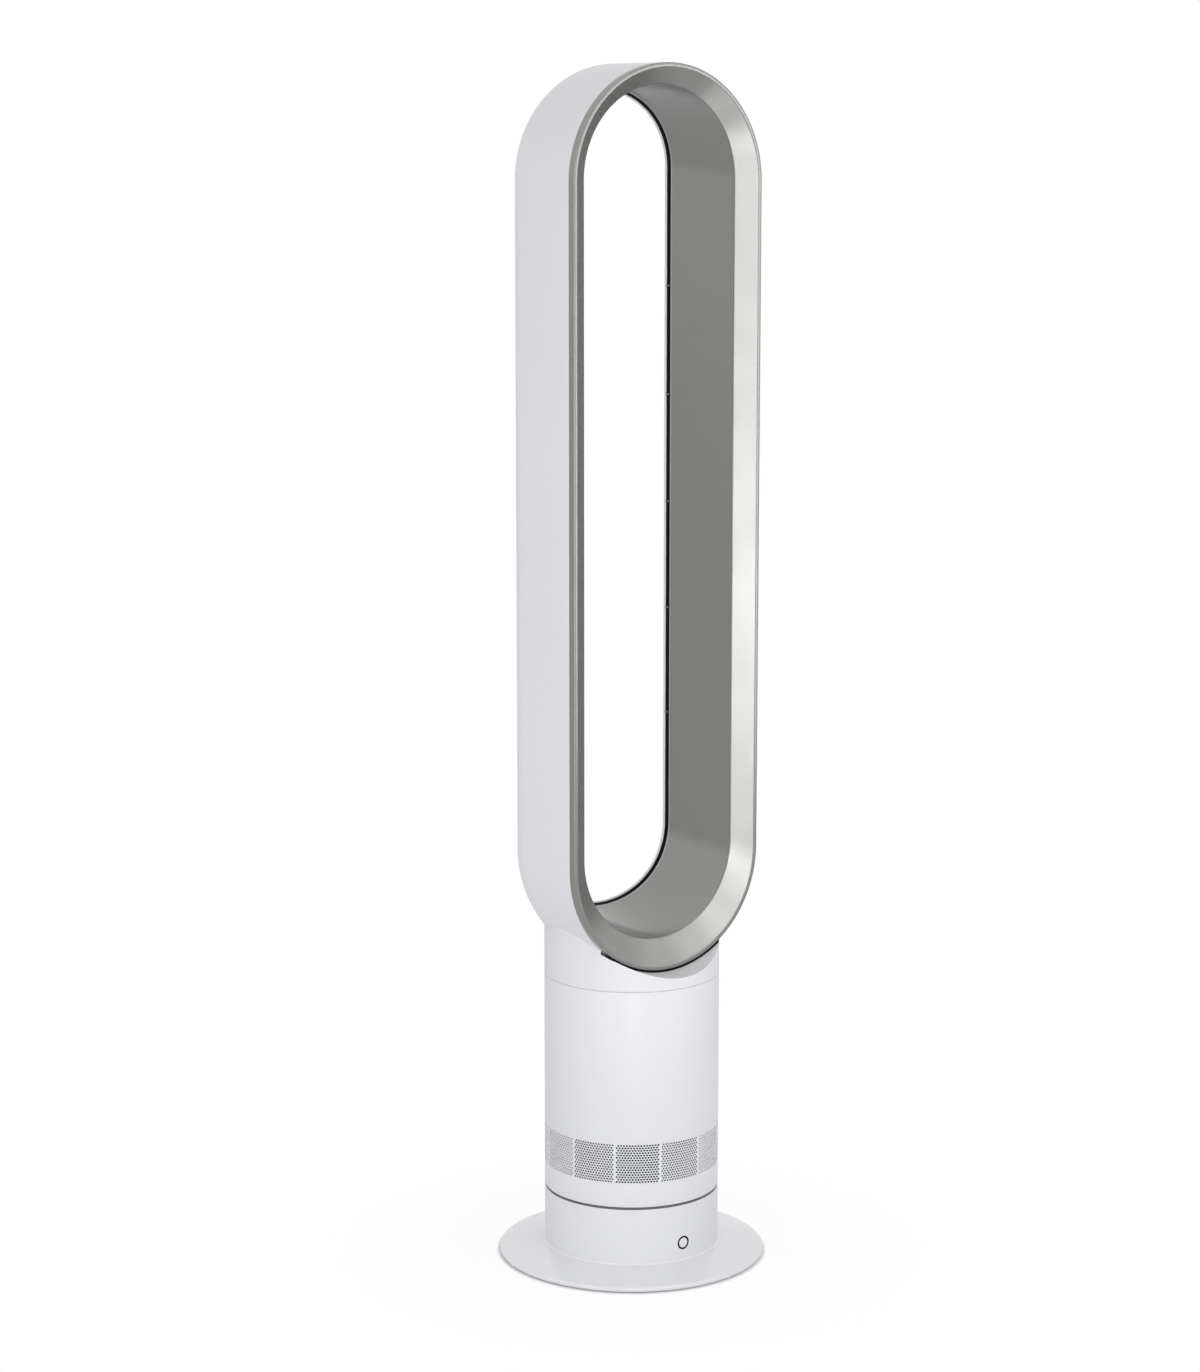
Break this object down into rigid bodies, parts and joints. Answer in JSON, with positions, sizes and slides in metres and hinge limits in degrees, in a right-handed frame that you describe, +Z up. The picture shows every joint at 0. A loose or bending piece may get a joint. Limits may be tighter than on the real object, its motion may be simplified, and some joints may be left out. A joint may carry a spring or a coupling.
{
  "type": "bladeless tower fan",
  "caption": "Tall bladeless fan: an upright stadium-shaped air loop on a round body with a perforated intake band, which swings on a wide round foot plate.",
  "frame": {"origin": "on the floor at the middle of the foot plate, on the swivel axis", "axes": "+Z up along the swivel axis; the front of the loop, where the air leaves, faces -Y; +X is the viewer's right from the front"},
  "size_m": [0.23, 0.23, 1.007],
  "materials": {
    "gloss_white": "gloss",
    "satin_silver": "satin metallic paint",
    "dark_plastic": "satin",
    "grey_plastic": "satin",
    "cream_plastic": "satin",
    "steel": "bright",
    "cast_aluminium": "cast",
    "rubber": "matt",
    "circuit_board": "satin",
    "foam": "open cell"
  },
  "bodies": {
    "base": {"rubber_feet": "rubber", "bottom_cover": "grey_plastic", "cover_screws": "steel", "ballast_ring": "steel", "foot_plate": "gloss_white", "base_column": "gloss_white", "cord_grommet": "rubber", "base_deck": "grey_plastic", "deck_screws": "steel", "bearing_balls": "steel", "ball_cage": "cream_plastic", "spindle_clip": "steel", "swivel_motor": "steel", "swivel_motor_screws": "steel", "button_ring": "dark_plastic", "push_switch": "dark_plastic", "control_board": "circuit_board"},
    "upper_body": {"turntable": "dark_plastic", "ring_gear": "cream_plastic", "lower_collar": "gloss_white", "intake_cage": "dark_plastic", "intake_grille": "gloss_white", "acoustic_foam": "foam", "body_shell": "gloss_white", "mount_ring": "rubber", "fan_shroud": "cream_plastic", "diffuser": "cream_plastic", "motor_bucket": "cast_aluminium", "motor_stator": "steel", "motor_end_cap": "cast_aluminium", "motor_bearings": "steel", "driver_board": "circuit_board", "bucket_cap": "grey_plastic", "neck_seal": "rubber", "neck": "gloss_white", "outer_loop": "gloss_white", "inner_duct": "satin_silver", "slot_spacers": "gloss_white"},
    "pinion": {"output_shaft": "steel", "drive_pinion": "cream_plastic"},
    "impeller_set": {"impeller": "dark_plastic", "motor_rotor": "steel", "motor_shaft": "steel", "impeller_nut": "steel"},
    "power_button_set": {"power_button": "gloss_white", "switch_plunger": "cream_plastic"}
  },
  "joints": [
    {"name": "oscillation", "type": "hinge", "parent": "base", "child": "upper_body", "pos_m": [0, 0, 0.06], "axis": [0, 0, 1], "range_deg": [-35, 35]},
    {"name": "pinion_spin", "type": "hinge", "parent": "base", "child": "pinion", "pos_m": [0, 0.0435, 0.05], "axis": [0, 0, 1], "range_deg": [-181, 181]},
    {"name": "impeller_spin", "type": "hinge", "parent": "upper_body", "child": "impeller_set", "pos_m": [0, 0, 0.14], "axis": [0, 0, 1], "continuous": true},
    {"name": "button_press", "type": "slide", "parent": "base", "child": "power_button_set", "axis": [0, 1, 0], "range_m": [0, 0.0012], "stiffness_N_per_m": 700}
  ],
  "couplings": [
    {"joint": "pinion_spin", "follows": "oscillation", "ratio": 5.1429}
  ]
}
